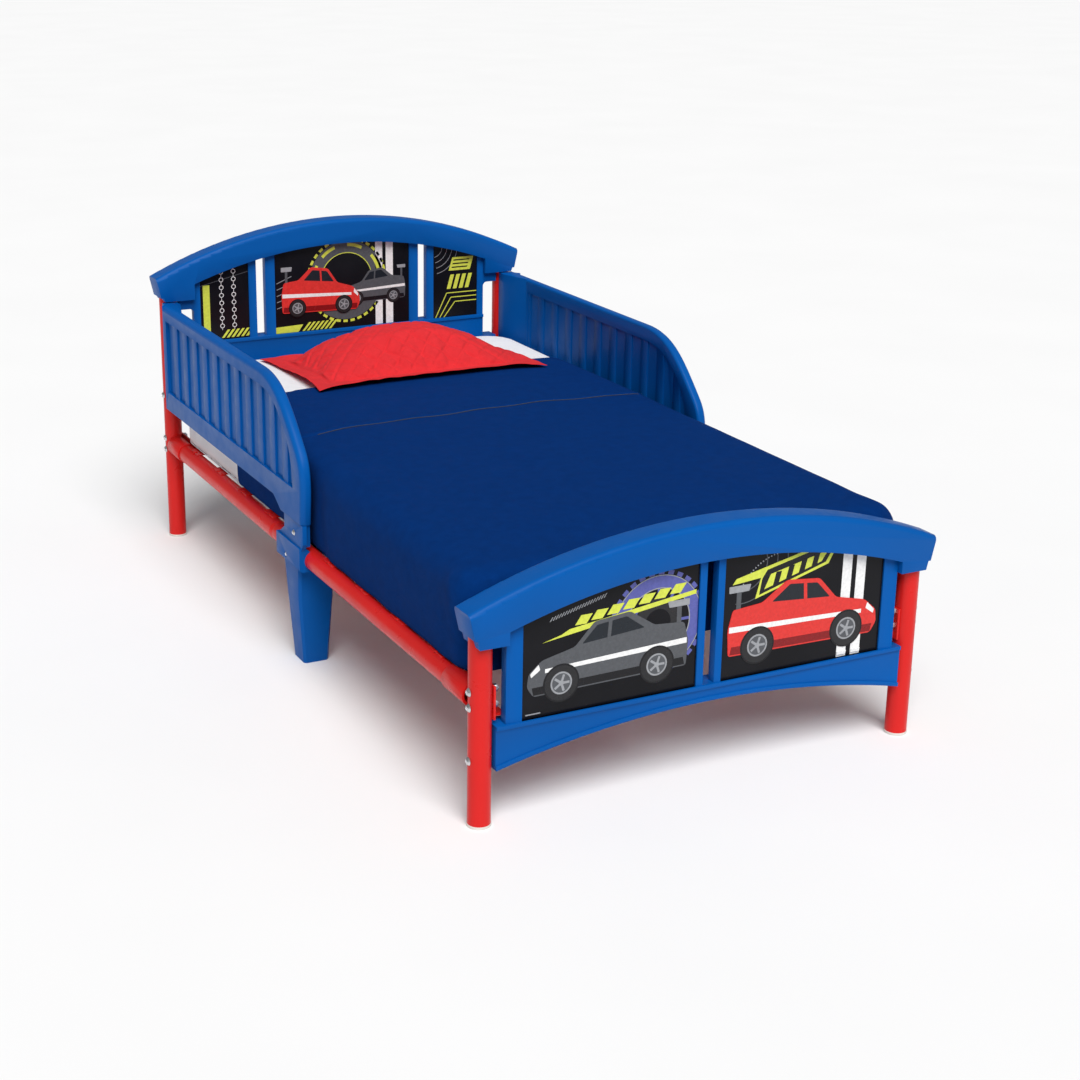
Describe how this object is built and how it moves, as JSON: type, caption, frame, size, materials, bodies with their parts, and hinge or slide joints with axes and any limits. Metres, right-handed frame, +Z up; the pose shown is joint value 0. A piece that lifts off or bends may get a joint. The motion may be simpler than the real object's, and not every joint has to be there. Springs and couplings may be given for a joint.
{
  "type": "toddler bed",
  "caption": "Low toddler bed: arched plastic head and foot boards on red steel posts, two ribbed guard rails, middle legs, mattress, sheet, coverlet and pillow.",
  "frame": {"origin": "on the floor, in the middle of the bed", "axes": "+Z up, +Y from the foot end to the head end, +X to the right when seen from the foot end"},
  "size_m": [0.74, 1.35, 0.585],
  "materials": {
    "blue_plastic": "moulded plastic with a fine satin grain",
    "red_steel": "semi-gloss powder coat",
    "zinc_fasteners": "zinc plated",
    "foot_cap_plastic": "pale satin plastic",
    "printed_board": "black board with a printed gloss face",
    "mattress_cover": "white woven ticking",
    "white_cotton": "white cotton sheet",
    "navy_cotton": "navy cotton coverlet",
    "red_cotton": "red quilted cotton"
  },
  "bodies": {
    "frame": {"foot_cap_foot_left": "foot_cap_plastic", "foot_cap_foot_right": "foot_cap_plastic", "foot_cap_head_left": "foot_cap_plastic", "foot_cap_head_right": "foot_cap_plastic", "footboard_frame": "blue_plastic", "footboard_panel_left": "printed_board", "footboard_panel_right": "printed_board", "footboard_top_rail": "blue_plastic", "guard_bolts": "zinc_fasteners", "guard_rail_left": "blue_plastic", "guard_rail_right": "blue_plastic", "headboard_frame": "blue_plastic", "headboard_panel_centre": "printed_board", "headboard_panel_left": "printed_board", "headboard_panel_right": "printed_board", "headboard_top_rail": "blue_plastic", "leg_screws": "zinc_fasteners", "middle_leg_left": "blue_plastic", "middle_leg_right": "blue_plastic", "post_bolts": "zinc_fasteners", "post_foot_left": "red_steel", "post_foot_right": "red_steel", "post_head_left": "red_steel", "post_head_right": "red_steel", "rail_bracket_foot_left": "red_steel", "rail_bracket_foot_right": "red_steel", "rail_bracket_head_left": "red_steel", "rail_bracket_head_right": "red_steel", "rail_nuts": "zinc_fasteners", "side_rail_foot_left": "red_steel", "side_rail_foot_right": "red_steel", "side_rail_head_left": "red_steel", "side_rail_head_right": "red_steel", "slat_1": "red_steel", "slat_2": "red_steel", "slat_3": "red_steel", "slat_4": "red_steel", "slat_5": "red_steel", "slat_6": "red_steel", "slat_7": "red_steel", "slat_8": "red_steel", "slat_9": "red_steel", "slat_rivets": "red_steel"},
    "mattress": {"mattress": "mattress_cover", "fitted_sheet": "white_cotton"},
    "coverlet": {"coverlet": "navy_cotton"},
    "pillow": {"pillow": "red_cotton"}
  },
  "joints": [
    {"name": "mattress_lift", "type": "slide", "parent": "frame", "child": "mattress", "axis": [0, 0, 1], "range_m": [0, 0.4]},
    {"name": "coverlet_lift", "type": "slide", "parent": "mattress", "child": "coverlet", "axis": [0, 0, 1], "range_m": [0, 0.2]},
    {"name": "pillow_lift", "type": "slide", "parent": "coverlet", "child": "pillow", "axis": [0, 0, 1], "range_m": [0, 0.2]}
  ]
}
